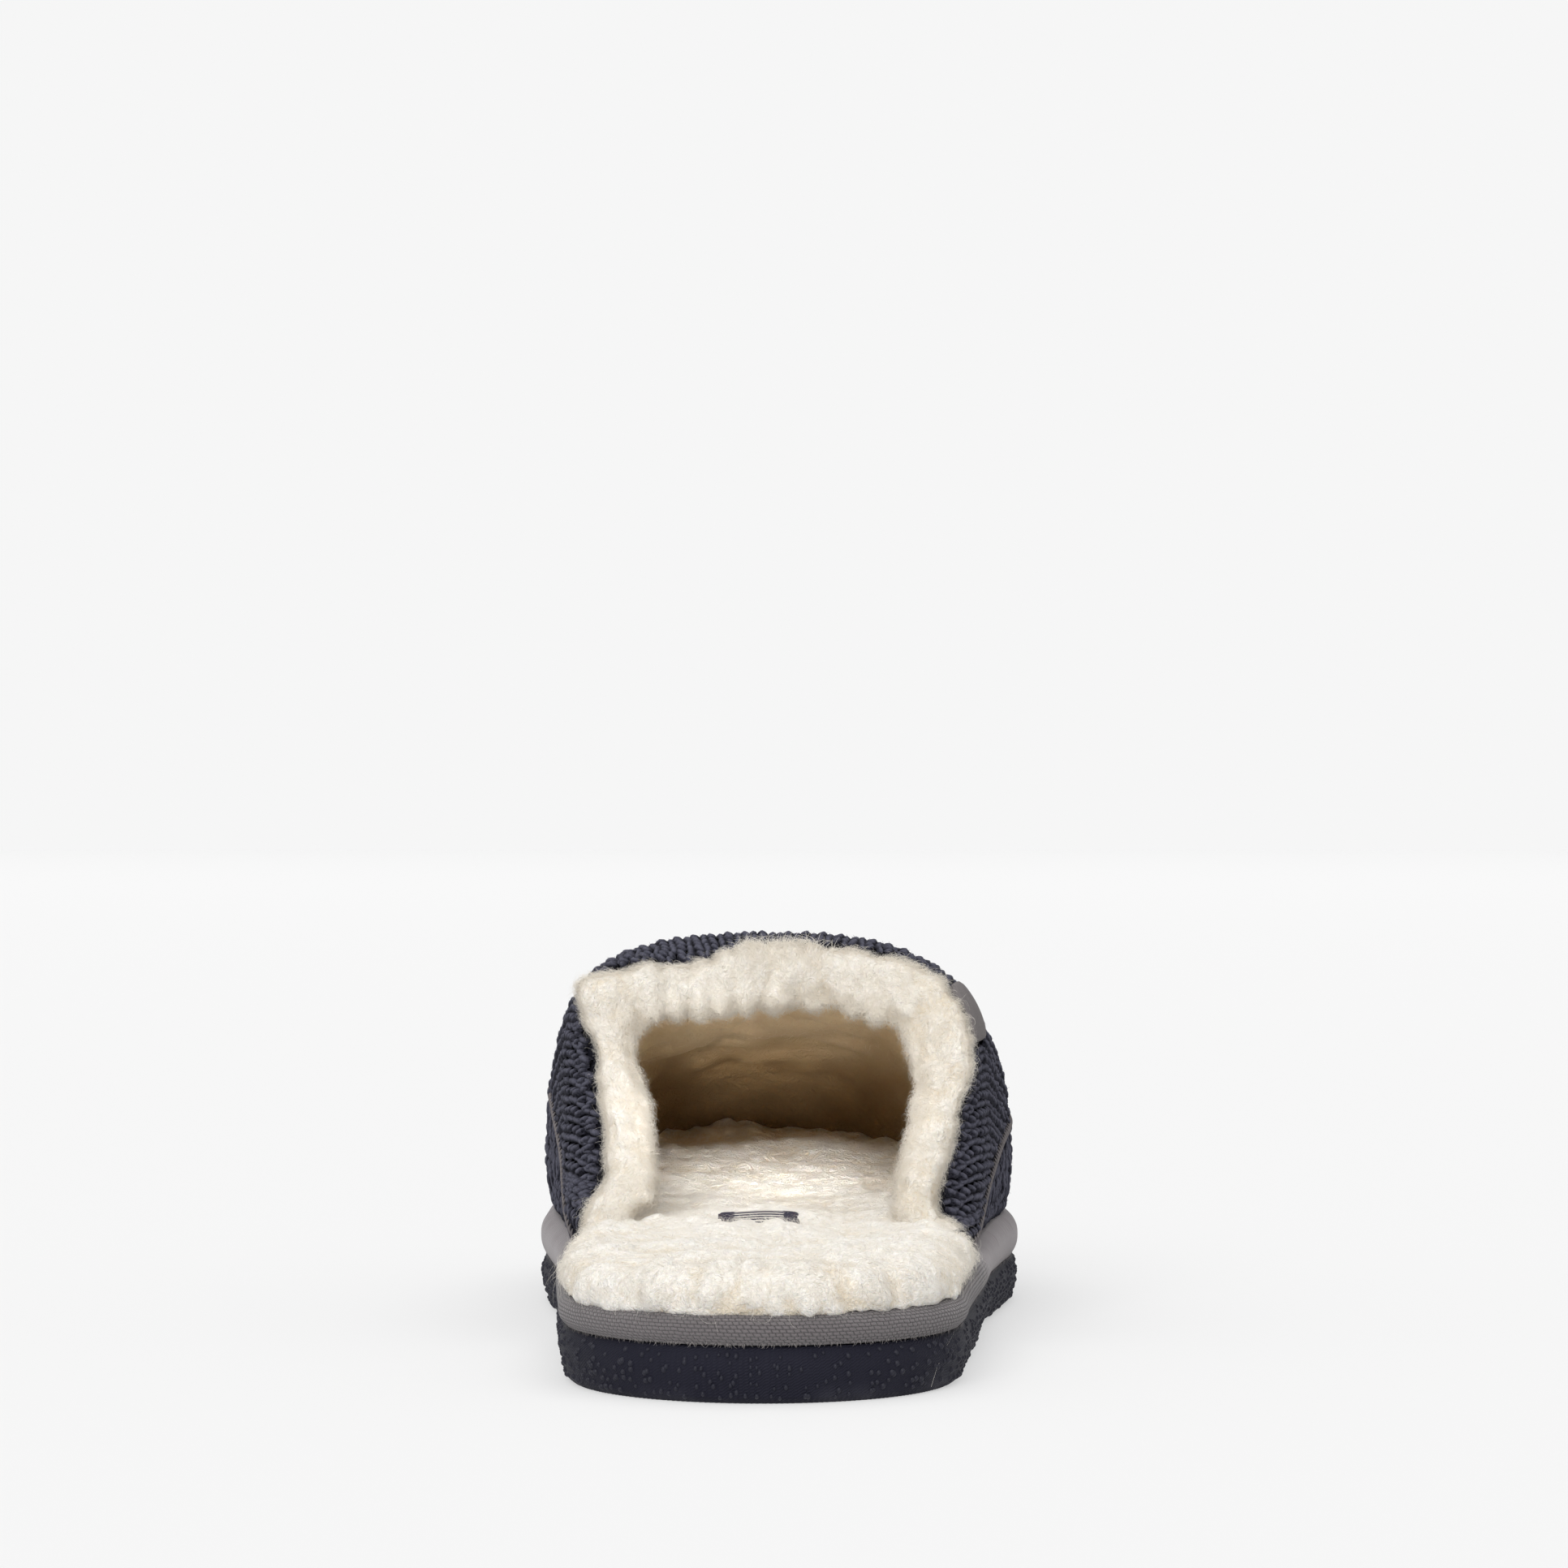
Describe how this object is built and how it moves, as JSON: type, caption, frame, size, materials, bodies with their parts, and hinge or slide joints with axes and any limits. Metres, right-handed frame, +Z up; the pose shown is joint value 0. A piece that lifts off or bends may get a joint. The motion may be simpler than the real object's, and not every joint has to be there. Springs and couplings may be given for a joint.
{
  "type": "slip-on slipper",
  "caption": "Right slip-on house slipper with a rounded knitted vamp, a rolled fleece collar, lining and insole, a taped platform and a flat rubber outsole.",
  "frame": {"origin": "middle of the bounding box on the floor", "axes": "+Z up, +Y from the heel to the toe, +X to the outer side of the right foot"},
  "size_m": [0.1084, 0.285, 0.0849],
  "materials": {
    "outsole_rubber": "matte, finely grained with small raised dots",
    "woven_tape": "woven twill tape",
    "fleece": "deep cream pile in locks",
    "knit": "chunky charcoal stocking stitch",
    "felt": "smooth felt",
    "woven_label": "close weave, plain"
  },
  "bodies": {
    "root": {"outsole": "outsole_rubber", "platform": "woven_tape", "insole": "fleece", "upper": "knit", "lining": "fleece", "side_tab": "felt", "label": "woven_label"}
  },
  "joints": []
}
